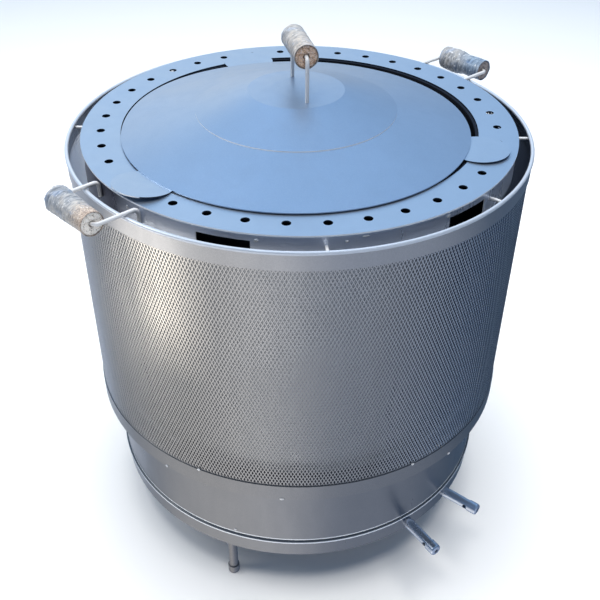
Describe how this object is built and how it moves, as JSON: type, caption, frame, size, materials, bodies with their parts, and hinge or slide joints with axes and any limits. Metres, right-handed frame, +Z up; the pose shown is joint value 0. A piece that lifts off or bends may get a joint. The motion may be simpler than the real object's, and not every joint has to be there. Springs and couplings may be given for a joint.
{
  "type": "portable gas tandoor oven",
  "caption": "Portable gas tandoor: a steel drum on legs with a clay liner, ring burners, a vented top plate, an expanded-metal guard, rod handles and a loose conical lid.",
  "frame": {"origin": "on the drum axis at floor level, midway between the three feet", "axes": "+X towards the right side handle, -Y midway between the gas pipes, +Z up along the drum axis"},
  "size_m": [0.6964, 0.6407, 0.7222],
  "materials": {
    "steel_paint": "satin silver paint over sheet steel",
    "band_paint": "satin silver paint over sheet steel",
    "plate_paint": "satin silver paint over sheet steel",
    "lid_paint": "satin silver paint over sheet steel",
    "mesh_paint": "silver paint on expanded steel mesh",
    "rod_paint": "silver paint on drawn steel rod",
    "pipe_paint": "glossy silver paint on steel pipe",
    "steel_dark": "silver paint, scuffed and dulled",
    "iron": "black iron, matt",
    "clay": "fired clay, matt",
    "wood": "turned softwood, bare",
    "film": "clear stretch film in several layers, milky"
  },
  "bodies": {
    "root": {"drum_shell": "steel_paint", "base_floor": "steel_dark", "leg_1": "steel_dark", "leg_2": "steel_dark", "leg_3": "steel_dark", "foot_cap_1": "steel_dark", "foot_cap_2": "steel_dark", "foot_cap_3": "steel_dark", "liner_shelf": "steel_dark", "clay_liner": "clay", "inner_burner": "iron", "outer_burner": "iron", "burner_posts": "steel_dark", "gas_pipe_inner": "pipe_paint", "gas_pipe_outer": "pipe_paint", "jet_cap_inner": "pipe_paint", "jet_cap_outer": "pipe_paint", "top_ring": "plate_paint", "guard_mesh": "mesh_paint", "guard_top_band": "band_paint", "guard_low_band": "band_paint", "upper_spacers": "rod_paint", "lower_spacers": "rod_paint", "left_bail": "rod_paint", "right_bail": "rod_paint"},
    "lid": {"lid_cone": "lid_paint", "lid_crown": "lid_paint", "lid_disc_1": "plate_paint", "lid_disc_2": "plate_paint", "lid_disc_3": "plate_paint", "lid_bail": "rod_paint"},
    "lid_handle": {"lid_grip": "wood", "lid_film": "film"},
    "left_handle": {"left_grip": "wood", "left_film": "film"},
    "right_handle": {"right_grip": "wood", "right_film": "film"}
  },
  "joints": [
    {"name": "lid_lift", "type": "slide", "parent": "root", "child": "lid", "axis": [0, 0, 1], "range_m": [0, 0.2]},
    {"name": "lid_grip_spin", "type": "hinge", "parent": "lid", "child": "lid_handle", "pos_m": [-0.0147, -0.015, 0.707], "axis": [0.5, 0.866, 0], "continuous": true},
    {"name": "left_grip_spin", "type": "hinge", "parent": "root", "child": "left_handle", "pos_m": [-0.33249, 0.0029, 0.5953], "axis": [0.0087, 1, 0], "continuous": true},
    {"name": "right_grip_spin", "type": "hinge", "parent": "root", "child": "right_handle", "pos_m": [0.3324, -0.00812, 0.5953], "axis": [0.0244, 0.9997, 0], "continuous": true}
  ]
}
